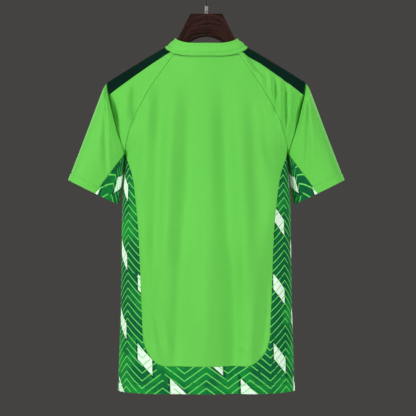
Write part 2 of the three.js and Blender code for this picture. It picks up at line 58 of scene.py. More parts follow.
# In tables and arguments 1 is the back and -1 the front
NECK = {"half": 90.9, 1: 34.5, -1: 46.5}
OVAL = {1: 2.67, -1: 4.0}
COLLAR = {"half": 69.0, 1: 27.0, -1: 38.0, "rise_side": 19.8, "rise_middle": 28.3, "swell": 0.5}
# Lower corner of the back panel, a quarter of an oval
CORNER = {"x": 82.5, "z": -765.0, "across": 56.0, "down": 75.0}

# Sleeves: ends of the cuff, half depth at the armhole and the cuff, form of the section, and where
# on the cuff the underarm piece begins
CUFF_OUT = (303.0, -437.0)
CUFF_IN = (194.0, -491.0)
SLEEVE_DEPTH = (45.0, 36.5)
SLEEVE_POWER = 2.4
SLEEVE_LEAN = 0.36
GUSSET_SHARE = 0.566
# Shoulder bands: lower edge under the shoulder line at neck and armhole, share left bare at its top
BAND_FALL = (18.0, 32.5)
BAND_BARE = 0.02

# The fold beside each armhole: on the body, with its place left and right, and on the sleeve
VALLEY = {"half": 10.0, "depth": 17.0, "inward": (1.4, 3.0), "settle": 0.45, "skew": 0.8}
SLEEVE_VALLEY = {"at": 0.028, "half": 0.034, "depth": 8.0, "start": 0.018, "skew": 0.7}
FOLD_FADE = (0.21, 0.2)  # share of a fold in which it begins and ends
STROKE_FADE = 0.32
SLEEVE_FADE = 0.3
# Creases fade out towards the shoulder line, the side and the armhole
CALM = {"ridge": 16.0, "side": 34.0, "armhole": 15.0}

# Hems: height of the stitch line, thickness added below it, and its groove
HEM_UP = 20.0
CUFF_UP = 16.0
TURNED = 0.5
STITCH_GROOVE = {"depth": 1.2, "half": 1.8}

# Broad folds, deeper than the shallow ones of the solids: side, x at top and bottom, heights,
# half width, rise
FOLDS = [
    (1, -124, -148, -205, -560, 15, 6.0),
    (1, -100, -112, -195, -640, 14, -7.6),
    (1, -70, -88, -195, -650, 16, 6.6),
    (1, -140, -106, -480, -940, 18, 6.4),
    (1, -33, -66, -195, -940, 17, -7.6),
    (1, 4, -4, -195, -940, 27, 6.4),
    (1, 36, 60, -195, -940, 18, -9.0),
    (1, -6, -2, -540, -980, 30, 4.6),
    (1, 54, 60, -540, -980, 16, -4.4),
    (1, 68, 104, -195, -930, 19, 5.2),
    (1, 98, 116, -230, -570, 15, -4.2),
    (1, 150, 110, -490, -890, 15, -9.0),
    (1, 150, 140, -400, -640, 14, 3.6),
    (-1, -92, -78, -290, -930, 26, -5.0),
    (-1, -22, -36, -300, -930, 24, 4.6),
    (-1, 38, 24, -310, -860, 22, -4.6),
    (-1, 104, 88, -280, -930, 28, 4.8),
    (-1, -128, -112, -400, -860, 16, 3.0),
    (-1, 74, 60, -420, -880, 14, -2.6),
]
# Angle, half width, from, to, rise
SLEEVE_FOLDS = [
    (0.80, 0.16, 0.10, 0.72, -1.4),
    (-1.1, 0.20, 0.10, 0.85, -2.6),
]

# Creases: start x and z, end x and z, bow, half width, rise
BACK_CREASES = [
    (-132, -250, -148, -330, -4, 8, -1.6),
    (-150, -330, -160, -470, -5, 9, -1.4),
    (162, -455, 146, -640, -5, 9, -2.0),
    (130, -300, 148, -430, 7, 9, -1.8),
    (-124, -690, -92, -832, -4, 9, -2.6),
    (-104, -700, -74, -834, -3, 8, 1.6),
    (104, -196, 150, -292, -8, 7, 1.4),
    (-94, -196, -132, -276, 8, 7, 1.2),
    (110, -262, 132, -338, -4, 6, -1.4),
    (64, -790, 112, -832, -4, 7, 1.4),
    (20, -720, 8, -836, 3, 9, -1.0),
    (140, -556, 184, -536, 2, 4.5, -2.6),
    (138, -580, 186, -558, -2, 4.5, 2.0),
    (142, -602, 188, -584, 2, 4.5, -2.4),
    (138, -632, 184, -612, 2, 5, -1.6),
    (-184, -700, -146, -724, 2, 4.5, -2.0),
    (-186, -724, -150, -744, -2, 4.5, 1.6),
]
FRONT_CREASES = [
    (-110, -250, -124, -470, -5, 9, -2.0),
    (-64, -300, -76, -620, 5, 10, -2.4),
    (-84, -560, -96, -870, -5, 11, -2.6),
    (16, -290, 30, -560, 5, 10, -1.8),
    (32, -500, 20, -860, -6, 11, -2.6),
    (118, -420, 128, -700, 6, 10, -2.2),
    (112, -640, 96, -880, 5, 11, -2.4),
    (-30, -320, -34, -640, -6, 12, 1.7),
    (70, -330, 64, -700, 6, 12, 1.6),
    (-128, -560, -122, -800, 5, 10, 1.5),
    (100, -260, 132, -400, 6, 8, -1.6),
    (-90, -255, -60, -300, 5, 8, 1.0),
    (88, -255, 56, -302, -5, 8, 1.0),
    (0, -700, 6, -885, 3, 9, -1.4),
]
# On the shoulder pieces
BACK_SHOULDER_CREASES = [
    (-157, -212, -155, -336, 3, 4.6, -5.6),
    (-170, -220, -172, -330, 2, 6, 3.2),
    (-144, -206, -146, -280, -2, 5, 2.4),
    (150, -202, 150, -310, 1, 5, -4.8),
    (161, -206, 161, -340, 1, 5, 5.2),
    (171, -212, 172, -350, 1, 5.5, -5.6),
    (183, -222, 181, -335, 1, 6, 3.6),
    (136, -196, 141, -270, -1, 4.5, 3.0),
    (127, -192, 131, -255, -2, 4, -2.2),
    (82, -152, 116, -186, 3, 4, -3.0),
    (88, -146, 130, -176, -2, 3.6, 2.8),
    (80, -168, 108, -206, 2, 3.6, 2.8),
    (94, -170, 128, -214, 2, 3.6, -2.6),
    (112, -196, 120, -248, -2, 4, 1.6),
    (-92, -166, -124, -200, -3, 4, -2.0),
    (-108, -190, -136, -236, 3, 5, 1.7),
    (-198, -240, -194, -330, 3, 6, -2.4),
    (202, -240, 198, -318, -3, 6, -2.4),
]
FRONT_SHOULDER_CREASES = [
    (-150, -214, -156, -300, 3, 7, -2.0),
    (-178, -226, -182, -330, 3, 8, 1.8),
    (140, -210, 150, -300, -4, 7, -2.2),
    (172, -224, 180, -330, -4, 8, 1.8),
    (-100, -190, -120, -240, -3, 6, -1.0),
    (104, -190, 122, -244, 3, 6, -1.2),
]
# On the sleeves: share of the length from, to; angle from, to; half width, rise
SLEEVE_CREASES = [
    (0.10, 0.84, 0.56, 1.92, 0.17, -3.4),
    (0.08, 0.86, 0.26, 1.58, 0.16, 1.2),
    (0.12, 0.86, 0.90, 2.26, 0.16, 1.4),
    (0.06, 0.74, -0.92, -1.02, 0.12, -4.6),
    (0.12, 0.95, -1.45, -1.32, 0.14, 3.2),
    (0.20, 0.90, -1.95, -1.75, 0.12, -2.8),
]


def ease(t):
    t = np.clip(t, 0, 1)
    return t * t * (3 - 2 * t)


def lerp(a, b, t):
    return a + (b - a) * t


def unit(v):
    return v / np.maximum(np.linalg.norm(v, axis=-1, keepdims=True), 1e-12)


def through(zs, values):
    """One smooth curve through a table's rows, by height."""
    zs, values = np.array(zs, float), np.array(values, float)
    slopes = np.empty_like(values)
    slopes[1:-1] = (values[2:] - values[:-2]) / (zs[2:] - zs[:-2])
    slopes[0] = (values[1] - values[0]) / (zs[1] - zs[0])
    slopes[-1] = (values[-1] - values[-2]) / (zs[-1] - zs[-2])

    def at(z):
        z = np.clip(z, zs[-1], zs[0])
        i = np.clip(np.searchsorted(-zs, -z, side="right") - 1, 0, len(zs) - 2)
        span = zs[i + 1] - zs[i]
        t = (z - zs[i]) / span
        return (
            values[i] * (1 + 2 * t) * (1 - t) ** 2
            + slopes[i] * span * t * (1 - t) ** 2
            + values[i + 1] * t * t * (3 - 2 * t)
            + slopes[i + 1] * span * t * t * (t - 1)
        )

    return at


BODY_Z = (-382, -404, -440, -495, -690, -800, -899)
body_half = through(BODY_Z, (178.9, 179.6, 181.8, 185, 188, 191, 194.5))
body_depth = through(BODY_Z, (56, 56, 56.2, 56.5, 57, 57.6, 58))
side_seam = through(
    (-382, -422, -460, -545, -633, -765, -899), (178.9, 163.9, 156.8, 148.3, 143.9, 138.5, 136)
)


def bezier(points, t):
    row = [np.stack([np.full_like(t, p[0]), np.full_like(t, p[1])], -1) for p in points]
    while len(row) > 1:
        row = [lerp(a, b, t[..., None]) for a, b in zip(row, row[1:])]
    return row[0]


def root(f, low, high, like):
    """The places where falling functions reach zero."""
    low, high = np.full_like(like, low), np.full_like(like, high)
    for _ in range(40):
        middle = (low + high) / 2
        above = f(middle) > 0
        low, high = np.where(above, middle, low), np.where(above, high, middle)
    return low


def ridge_z(x):
    return RIDGE["top"] - RIDGE["slope"] * (np.hypot(x, RIDGE["turn"]) - RIDGE["turn"])


def quarter(t):
    return 1 - (1 - np.minimum(1, t)) ** 2


SHOULDER = (SHOULDER_X, float(ridge_z(SHOULDER_X)))


def in_from_side(x, z):
    """Distance in from the body's side, and above the armpit from the armpit."""
    above = np.hypot(np.abs(x) - ARMPIT[0], z - ARMPIT[1])
    return np.where(z > ARMPIT[1], above, body_half(z) - np.abs(x))


def fold_at(x, z, side):
    """What the broad folds and the armhole's fold add to the half depth."""
    rise = np.zeros_like(x)
    for on, x0, x1, top, bottom, half, height in FOLDS:
        share = (top - z) / (top - bottom)
        centre = lerp(x0, x1, ease(share))
        fade = ease(share / FOLD_FADE[0]) * ease((1 - share) / FOLD_FADE[1])
        wave = height * fade * np.exp(-(((x - centre) / half) ** 2))
        rise += np.where(side == on, wave, 0)
    fall = np.clip((SHOULDER[1] - z) / (SHOULDER[1] - ARMPIT[1]), 0, 1)
    seam = lerp(SHOULDER[0], ARMPIT[0], fall)
    inward = np.where(x < 0, *VALLEY["inward"]) * ease((1 - fall) / VALLEY["settle"])
    beside = (np.abs(x) - seam + inward) / VALLEY["half"]
    return rise - VALLEY["depth"] * np.sin(math.pi * fall ** VALLEY["skew"]) * np.exp(-(beside**2))


def square(x, z, side):
    """Square of the body's half depth at a place."""
    down = quarter(np.maximum(0, ridge_z(x) - z) / DRAPE)
    inward = quarter(np.maximum(0, in_from_side(x, z)) / ROUNDING)
    return down * inward * (body_depth(z) + fold_at(x, z, side)) ** 2


def strokes(x, z, rows):
    """Soft ridges and troughs along slightly bowed lines."""
    total = np.zeros_like(x)
    for x0, z0, x1, z1, bow, half, rise in rows:
        dx, dz = x1 - x0, z1 - z0
        length = math.hypot(dx, dz)
        share = np.clip(((x - x0) * dx + (z - z0) * dz) / length**2, 0, 1)
        off = ((x - x0) * dz - (z - z0) * dx) / length - bow * 4 * share * (1 - share)
        fade = ease(share / STROKE_FADE) * ease((1 - share) / STROKE_FADE)
        total += rise * fade * np.exp(-((off / half) ** 2))
    return total


def scattered(seed, count):
    """Small uneven creases that run mostly downwards."""
    chance = np.random.default_rng(seed)
    rows = []
    for _ in range(count):
        x0, z0 = chance.uniform(-160, 160), chance.uniform(-760, -235)
        run = chance.uniform(80, 240)
        rows.append(
            (x0, z0, x0 + chance.uniform(-20, 20), max(-880, z0 - run), chance.uniform(-5, 5),
             chance.uniform(5, 12), chance.choice([-1, 1]) * chance.uniform(0.3, 0.9))
        )
    return rows


CREASES = {
    1: BACK_CREASES + BACK_SHOULDER_CREASES + scattered(11, 34),
    -1: FRONT_CREASES + FRONT_SHOULDER_CREASES + scattered(23, 30),
}


def to_armhole(x, z):
    """Distance in the x and z plane to the line of the armhole seam."""
    along = np.array([ARMPIT[0] - SHOULDER[0], ARMPIT[1] - SHOULDER[1]])
    length = np.linalg.norm(along)
    off = (np.abs(x) - SHOULDER[0]) * along[1] - (z - SHOULDER[1]) * along[0]
    return np.abs(off) / length


def hem_rise(up, at):
    """A turned-up hem: a slightly thicker edge with its stitch line drawn in."""
    groove = STITCH_GROOVE["depth"] * np.exp(-(((up - at) / STITCH_GROOVE["half"]) ** 2))
    return TURNED * ease((at - up) / 2 + 0.5) - groove


def skin(x, z, side):
    """A point of the body's surface with its creases, and its outward normal."""
    side = np.broadcast_to(side, x.shape)
    y = -side * np.sqrt(np.maximum(0, square(x, z, side)))
    h = 0.2
    n = unit(
        np.stack(
            [
                -(square(x + h, z, side) - square(x - h, z, side)) / (2 * h),
                2 * y,
                -(square(x, z + h, side) - square(x, z - h, side)) / (2 * h),
            ],
            -1,
        )
    )
    calm = ease((ridge_z(x) - z) / CALM["ridge"]) * ease(in_from_side(x, z) / CALM["side"])
    calm = calm * np.where(z > ARMPIT[1], ease(to_armhole(x, z) / CALM["armhole"]), 1)
    rise = np.where(side > 0, strokes(x, z, CREASES[1]), strokes(x, z, CREASES[-1])) * calm
    rise = rise + hem_rise(z - HEM_Z, HEM_UP)
    p = np.stack([x, y, z], -1)
    return p + n * rise[..., None], n


# Neck seam
def fall_of(turn):
    return DRAPE * (1 - np.cos(turn))


def turn_of(xz):
    return np.arccos(np.clip(1 - (ridge_z(xz[..., 0]) - xz[..., 1]) / DRAPE, -1, 1))


def neck_share(turn, side):
    return np.minimum(1, CHEST * np.sin(turn) / NECK[side])


def neck_x(turn, side):
    return NECK["half"] * np.sqrt(1 - neck_share(turn, side) ** OVAL[side])


def neck_z(x, side):
    inside = np.maximum(0, 1 - (x / NECK["half"]) ** 2) ** (1 / OVAL[side])
    return ridge_z(x) - fall_of(np.arcsin(NECK[side] / CHEST * inside))


# Raglan seam on the wearer's right, from the collar to the armpit
RAGLAN = [(70.0, float(neck_z(np.float64(70.0), 1))), (105.0, -212.0), (172.0, -300.0), ARMPIT]


def above_neck(t):
    at = bezier(RAGLAN, 1 - t)
    return neck_z(at[..., 0], -1) - at[..., 1]


FRONT_START = 1 - float(root(above_neck, 0.0, 1.0, np.zeros(1))[0])


def raglan(t, side):
    return bezier(RAGLAN, t if side > 0 else lerp(FRONT_START, 1, t))


RAGLAN_STEPS = 66
RAGLAN_END = 0.965
CORNER_ROWS = 36
CLIMB_ROWS = 128
UNDER_ROWS = 26
FRONT_TURN_ROWS = 24
raglan_steps = np.append(np.linspace(0, RAGLAN_END, RAGLAN_STEPS), 1.0)


def climb_from(bottom, count):
    t = np.linspace(0, 1, count + 1)[:-1]
    share = np.append(1 - (1 - t) ** 1.25, 0.998)
    z = lerp(bottom, ARMPIT[1], share)
    return np.stack([side_seam(z), z], -1)


turns = np.linspace(math.pi / 2, 0, CORNER_ROWS + 1)
corner_rows = np.stack(
    [CORNER["x"] + CORNER["across"] * np.cos(turns), CORNER["z"] - CORNER["down"] * np.sin(turns)], -1
)
back_side = np.concatenate([corner_rows, climb_from(CORNER["z"], CLIMB_ROWS)[1:]])
front_side = climb_from(HEM_Z, CLIMB_ROWS + CORNER_ROWS)


def panel(side, columns):
    """Grid over the back or front panel, with x and z on it."""
    low = back_side if side > 0 else front_side
    edge = np.concatenate([low, raglan(raglan_steps[::-1], side)])
    last = len(edge) - 1
    top = edge[last]
    row = np.arange(last + 1)
    across = np.sin(np.linspace(-1, 1, columns + 1) * math.pi / 2)
    x = across[:, None] * edge[None, :, 0]
    share = ease(1 - (last - row) / (RAGLAN_STEPS * 1.2))
    dip = neck_z(np.minimum(np.abs(x), top[0]), side) - top[1]
    z = edge[None, :, 1] + dip * share[None, :]
    return x, z


# Patterned cloth, by distance round the body from its side edge, above zero towards the back
QUARTER_ROUND = ROUNDING * math.pi / 2


def round_of(xz):
    inside = body_half(xz[..., 1]) - xz[..., 0]
    near = ROUNDING * np.arccos(1 - np.clip(inside, 0, ROUNDING) / ROUNDING)
    return np.where(inside > ROUNDING, QUARTER_ROUND + inside - ROUNDING, near)


def x_at_round(a, z):
    r = np.abs(a)
    inside = np.where(
        r > QUARTER_ROUND, ROUNDING + r - QUARTER_ROUND, ROUNDING * (1 - np.cos(r / ROUNDING))
    )
    return body_half(z) - inside


HEM_SPREAD = (131.0, -60.0)


def wrap_rows():
    under_x = CORNER["x"] * np.sin(np.linspace(0, 1, UNDER_ROWS + 1)[:-1] * math.pi / 2)
    under = np.stack([under_x, np.full_like(under_x, PANEL_Z)], -1)
    inner = np.concatenate([under, back_side])
    front_edge = climb_from(HEM_Z, CLIMB_ROWS - FRONT_TURN_ROWS)
    middle = float(round_of(np.array([0.0, HEM_Z])))
    front_a = -round_of(front_edge)
    outer_a = np.concatenate(
        [
            lerp(middle, HEM_SPREAD[0], under_x / CORNER["x"]),
            np.linspace(HEM_SPREAD[0], HEM_SPREAD[1], CORNER_ROWS + 1),
            np.linspace(HEM_SPREAD[1], front_a[0], FRONT_TURN_ROWS + 1)[1:-1],
            front_a,
        ]
    )
    outer_z = np.concatenate([np.full(len(outer_a) - len(front_a), HEM_Z), front_edge[:, 1]])
    return round_of(inner), inner[:, 1], outer_a, outer_z


def side_and_hem(columns):
    a0, z0, a1, z1 = wrap_rows()
    spread = 0.5 - 0.5 * np.cos(np.linspace(0, math.pi, columns + 1))
    a = lerp(a0[None, :], a1[None, :], spread[:, None])
    z = lerp(z0[None, :], z1[None, :], spread[:, None])
    whole = [(a[:, :0:-1], z[:, :0:-1], -1), (a, z, 1)]
    a = np.concatenate([w[0] for w in whole], 1)
    z = np.concatenate([w[1] for w in whole], 1)
    hand = np.concatenate([np.full(w[0].shape, float(w[2])) for w in whole], 1)
    return a, z, hand


# Armhole seam: angle 0 at the shoulder and a half turn at the armpit
def armhole(angle):
    share = (1 + np.cos(angle)) / 2
    return np.stack([lerp(ARMPIT[0], SHOULDER[0], share), lerp(ARMPIT[1], SHOULDER[1], share)], -1)


def armhole_angle(fall):
    fall = np.asarray(fall, float)

    def left(a):
        at = armhole(a)
        return fall - (ridge_z(at[..., 0]) - at[..., 1])

    return root(left, 0.0, math.pi / 2, fall)


BAND_STEPS = 30
CORNER_STEPS = 12
LAST_ANGLE = math.pi - 0.11
TURN_NECK = math.acos(1 - BAND_FALL[0] / DRAPE)
TURN_ARMHOLE = math.acos(1 - BAND_FALL[1] / DRAPE)
BELOW_BAND = float(armhole_angle(BAND_FALL[1]))
armhole_angles = np.concatenate(
    [
        armhole_angle(fall_of(np.linspace(0, TURN_ARMHOLE, BAND_STEPS + 1))),
        np.linspace(BELOW_BAND, LAST_ANGLE, CORNER_STEPS + RAGLAN_STEPS)[1:],
    ]
)


def yoke_rows(side):
    seam = raglan(np.linspace(0, RAGLAN_END, RAGLAN_STEPS), side)
    corner = float(turn_of(seam[0]))
    neck = np.concatenate(
        [np.linspace(0, TURN_NECK, BAND_STEPS + 1), np.linspace(TURN_NECK, corner, CORNER_STEPS + 1)[1:]]
    )
    x0 = np.concatenate([neck_x(neck, side), seam[1:, 0]])
    turn0 = np.concatenate([neck, turn_of(seam[1:])])
    end = armhole(armhole_angles)
    return np.stack([x0, turn0, end[:, 0], turn_of(end)], -1)


YOKE = {1: yoke_rows(1), -1: yoke_rows(-1)}


def yoke(across, places):
    """x, z and side over a shoulder piece. Places below zero are on the front."""
    rows = np.empty((len(places), 4))
    for i, place in enumerate(places):
        table = YOKE[-1 if place < 0 else 1]
        low = min(int(abs(place)), len(table) - 2)
        rows[i] = lerp(table[low], table[low + 1], abs(place) - low)
    x = lerp(rows[None, :, 0], rows[None, :, 2], across[:, None])
    turn = lerp(rows[None, :, 1], rows[None, :, 3], across[:, None])
    side = np.where(places < 0, -1.0, 1.0)[None, :] * np.ones_like(x)
    return x, ridge_z(x) - fall_of(turn), side


# Sleeves, from the armhole at 0 to the cuff at 1
TOP_EDGE = [SHOULDER, (227.0, -232.0), (238.5, -274.0), CUFF_OUT]
UNDER_EDGE = [ARMPIT, (181.5, -442.0), CUFF_IN]
LAST_PART = 0.1


def sleeve_base(t, angle):
    share = ((1 + np.cos(angle)) / 2)[..., None]
    xz = lerp(bezier(UNDER_EDGE, t), bezier(TOP_EDGE, t), share)
    start = armhole(angle)
    side = np.where(np.sin(angle) < 0, -1.0, 1.0)
    at_seam = side * np.sqrt(np.maximum(0, square(start[..., 0], start[..., 1], side)))
    depth = lerp(SLEEVE_DEPTH[0], SLEEVE_DEPTH[1], t)
    for at, half, begin, end, rise in SLEEVE_FOLDS:
        place = np.clip((t - begin) / (end - begin), 0, 1)
        depth = depth + rise * np.sin(math.pi * place) * np.exp(-(((angle - at) / half) ** 2))
    oval = (1 - np.abs(np.cos(angle)) ** SLEEVE_POWER) ** (1 / SLEEVE_POWER)
    oval = np.sign(np.sin(angle)) * oval * (1 + SLEEVE_LEAN * np.cos(angle))
    y = -lerp(at_seam, depth * oval, ease(t / 0.3))
    return np.stack([xz[..., 0], y, xz[..., 1]], -1)


def cuff_reach(angle):
    """Length of the sleeve's last part, the share that LAST_PART names."""
    end = np.ones_like(angle)
    return np.linalg.norm(sleeve_base(end, angle) - sleeve_base(end - LAST_PART, angle), axis=-1)


def sleeve(t, angle, hand):
    """A point of the sleeve with its creases, and its outward normal."""
    h = 1e-3
    forward = sleeve_base(np.minimum(1, t + h), angle) - sleeve_base(np.maximum(0, t - h), angle)
    around = sleeve_base(t, angle + h) - sleeve_base(t, angle - h)
    own = unit(np.cross(around, forward))
    start = armhole(np.minimum(np.arccos(np.cos(angle)), LAST_ANGLE))
    seam = skin(start[..., 0], start[..., 1], np.where(np.sin(angle) < 0, -1.0, 1.0))[1]
    n = unit(lerp(seam, own, ease(t / 0.12)[..., None]))
    folded = np.where(angle > math.pi, angle - 2 * math.pi, angle)
    rise = np.zeros_like(t)
    for begin, end, from_angle, to_angle, half, height in SLEEVE_CREASES:
        share = np.clip((t - begin) / (end - begin), 0, 1)
        centre = lerp(from_angle, to_angle, share) + 0.03 * np.sin(5 * share + 7 * from_angle)
        fade = ease(share / SLEEVE_FADE) * np.where(end >= 0.95, 1, ease((1 - share) / SLEEVE_FADE))
        rise += height * fade * np.exp(-(((folded - centre) / half) ** 2))
    # The fold that opens just below the armhole seam, on the front and the back
    fall = np.clip((SHOULDER[1] - start[..., 1]) / (SHOULDER[1] - ARMPIT[1]), 0, 1)
    deep = SLEEVE_VALLEY["depth"] * np.sin(math.pi * fall ** SLEEVE_VALLEY["skew"])
    beside = (t - SLEEVE_VALLEY["at"]) / SLEEVE_VALLEY["half"]
    rise -= deep * np.exp(-(beside**2)) * ease(t / SLEEVE_VALLEY["start"])
    rise += hem_rise((1 - t) * cuff_reach(angle) / LAST_PART, CUFF_UP)
    p = sleeve_base(t, angle) + n * rise[..., None]
    flip = np.array([hand, 1.0, 1.0])
    return p * flip, n * flip


def gusset_angle(t):
    """Angle on the sleeve of the seam between it and the underarm piece."""
    out, under = bezier(TOP_EDGE, t), bezier(UNDER_EDGE, t)
    end = lerp(np.array(CUFF_OUT), np.array(CUFF_IN), GUSSET_SHARE)
    line = end - np.array(ARMPIT)
    start = under - np.array(ARMPIT)
    whole = out - under
    share = -(start[..., 0] * line[1] - start[..., 1] * line[0]) / (
        whole[..., 0] * line[1] - whole[..., 1] * line[0]
    )
    return np.minimum(LAST_ANGLE, np.arccos(np.clip(2 * share - 1, -1, 1)))


# Collar ring: an angle from the wearer's right round the back, and 0 at the seam to 1 at the top
def collar_base(angle, up):
    s = np.sin(angle)
    back = s >= 0
    reach = np.where(back, NECK[1], NECK[-1])
    power = np.where(back, OVAL[1], OVAL[-1])
    wide = np.sign(np.cos(angle)) * np.sqrt(np.maximum(0, 1 - np.abs(s) ** power))
    x = NECK["half"] * wide
    turn = np.arcsin(np.clip(reach * np.abs(s) / CHEST, 0, 1))
    low = np.stack([x, -reach * s, ridge_z(x) - fall_of(turn)], -1)
    rise = lerp(COLLAR["rise_side"], COLLAR["rise_middle"], np.abs(s))
    top_reach = np.where(back, COLLAR[1], COLLAR[-1])
    high = np.stack([COLLAR["half"] * wide, -top_reach * s, low[..., 2] + rise], -1)
    away = unit(np.stack([wide, -s, np.full_like(s, 0.3)], -1))
    return lerp(low, high, up[..., None]) + away * (COLLAR["swell"] * np.sin(math.pi * up))[..., None]


def collar(angle, up):
    h = 1e-3
    across = collar_base(angle + h, up) - collar_base(angle - h, up)
    rise = collar_base(angle, np.minimum(1, up + h)) - collar_base(angle, np.maximum(0, up - h))
    own = unit(np.cross(rise, across))
    foot = collar_base(angle, up * 0)
    seam = skin(foot[..., 0], foot[..., 2], np.where(np.sin(angle) < 0, -1.0, 1.0))[1]
    return collar_base(angle, up), unit(lerp(seam, own, ease(up / 0.5)[..., None]))


# Meshes
def build(name, points, groups, uvs=None, sharp=45):
    """An object from points in millimetres, its faces turned outwards. Each group is an array of
    faces with equally many corners."""
    points = np.asarray(points, float)
    volume = 0.0
    for faces in groups:
        for k in range(1, faces.shape[1] - 1):
            a, b, c = (points[faces[:, i]] for i in (0, k, k + 1))
            volume += np.einsum("ij,ij->i", a, np.cross(b, c)).sum()
    if volume < 0:
        groups = [faces[:, ::-1] for faces in groups]
    mesh = bpy.data.meshes.new(name)
    mesh.from_pydata((points * MM).tolist(), [], [face for faces in groups for face in faces.tolist()])
    mesh.update()
    mesh.polygons.foreach_set("use_smooth", np.ones(len(mesh.polygons), bool))
    if sharp:
        mesh.set_sharp_from_angle(angle=math.radians(sharp))
    if uvs is not None:
        layer = mesh.uv_layers.new(name="UVMap")
        corner = np.empty(len(mesh.loops), int)
        mesh.loops.foreach_get("vertex_index", corner)
        layer.data.foreach_set("uv", np.asarray(uvs, float)[corner].ravel())
    piece = bpy.data.objects.new(name, mesh)
    bpy.context.scene.collection.objects.link(piece)
    return piece


def grid_quads(columns, rows):
    i, j = (g.ravel() for g in np.meshgrid(np.arange(columns - 1), np.arange(rows - 1), indexing="ij"))
    return np.stack([i * rows + j, (i + 1) * rows + j, (i + 1) * rows + j + 1, i * rows + j + 1], -1)


def draw_in(p):
    """Draw a grid's outer edges back from their seams."""
    p = p.copy()
    for axis in (0, 1):
        g = np.swapaxes(p, 0, axis)
        g[0] += unit(g[1] - g[0]) * SEAM_HALF
        g[-1] += unit(g[-2] - g[-1]) * SEAM_HALF
    return p


def from_edges(p, edges):
    """Distance of each grid point from the nearest of the named edges, along its row or column."""
    nearest = np.full(p.shape[:2], 1e9)
    for axis, end in edges:
        g = np.swapaxes(p, 0, axis)
        distance = np.linalg.norm(g - g[0 if end < 0 else -1][None], axis=-1)
        nearest = np.minimum(nearest, distance if axis == 0 else distance.T)
    return nearest


def shell(name, p, n, uv, thick=CLOTH, lift=0.0, edges=(), groove=(1.5, 1.7)):
    """A thin closed cloth over a grid of points, with soft grooves along its seams."""
    if edges:
        depth, width = groove
        distance = from_edges(p, edges)
        p = p - n * (depth * np.exp(-((distance / width) ** 2)))[..., None]
    outside = draw_in(p) + n * lift
    inside = outside - n * thick
    columns, rows = p.shape[:2]
    count = columns * rows
    outer = grid_quads(columns, rows)
    inner = outer[:, ::-1] + count
    i, j = np.arange(columns - 1), np.arange(rows - 1)
    last = (columns - 1) * rows
    here, beside = i * rows, (i + 1) * rows
    rims = [
        np.stack([here, here + count, beside + count, beside], -1),
        np.stack([beside, beside + count, here + count, here], -1) + rows - 1,
        np.stack([j + 1, j + 1 + count, j + count, j], -1),
        np.stack([j, j + count, j + 1 + count, j + 1], -1) + last,
    ]
    points = np.concatenate([outside.reshape(-1, 3), inside.reshape(-1, 3)])
    uvs = np.concatenate([uv.reshape(-1, 2)] * 2)
    return build(name, points, [np.concatenate([outer, inner, *rims])], uvs)


def one_list(rows, middles):
    """All points of the rows, and where wanted the middles of the first and the last row."""
    points = rows.reshape(-1, rows.shape[-1])
    return np.concatenate([points, rows[[0, -1]].mean(1)]) if middles else points


def closed_loft(name, sections, uvs=None, sharp=45, ring=False):
    """A surface through equal closed sections; ring joins the last to the first, else both are capped."""
    count, per = sections.shape[:2]
    around = np.arange(per)
    i, j = (g.ravel() for g in np.meshgrid(np.arange(count if ring else count - 1), around, indexing="ij"))
    k, m = (i + 1) % count, (j + 1) % per
    groups = [np.stack([i * per + j, k * per + j, k * per + m, i * per + m], -1)]
    if not ring:
        following, last = (around + 1) % per, (count - 1) * per
        groups += [
            np.stack([np.full(per, count * per), around, following], -1),
            np.stack([np.full(per, count * per + 1), last + following, last + around], -1),
        ]
    uvs = None if uvs is None else one_list(uvs, not ring)
    return build(name, one_list(sections, not ring), groups, uvs, sharp)


# A stitch along its length: share of it, share of its radius; and how far it bows out
STITCH_FORM = ((0, 0.35), (0.12, 0.9), (0.5, 1.0), (0.88, 0.9), (1, 0.35))
STITCH_BOW = 0.25


def stitches(name, lines, length=2.5, pitch=3.4, radius=0.32):
    """Rows of short threads along lines of points with their normals."""
    points, faces = [], []
    ring, rings = 6, len(STITCH_FORM)
    for p, n in lines:
        step = np.linalg.norm(np.diff(p, axis=0), axis=1)
        run = np.concatenate([[0], np.cumsum(step)])
        for start in np.arange(pitch / 2, run[-1] - length, pitch):
            a, b, up = (
                np.array([np.interp(s, run, v[:, k]) for k in range(3)])
                for s, v in ((start, p), (start + length, p), (start + length / 2, n))
            )
            forward = unit(b - a)
            sidewards = unit(np.cross(up, forward))
            up = np.cross(forward, sidewards)
            base = len(points)
            for share, size in STITCH_FORM:
                centre = lerp(a, b, share) + up * (STITCH_BOW * math.sin(math.pi * share))
                for turn in range(ring):
                    angle = 2 * math.pi * turn / ring
                    points.append(
                        centre + radius * size * (math.cos(angle) * sidewards + math.sin(angle) * up)
                    )
            for k in range(rings - 1):
                for turn in range(ring):
                    q, r = base + k * ring + turn, base + k * ring + (turn + 1) % ring
                    faces.append([q, r, r + ring, q + ring])
            for k in (0, (rings - 1) * ring):
                for corners in ((0, 1, 2, 3), (0, 3, 4, 5)):
                    faces.append([base + k + turn for turn in corners][:: 1 if k else -1])
    return build(name, points, [np.array(faces)], sharp=None)


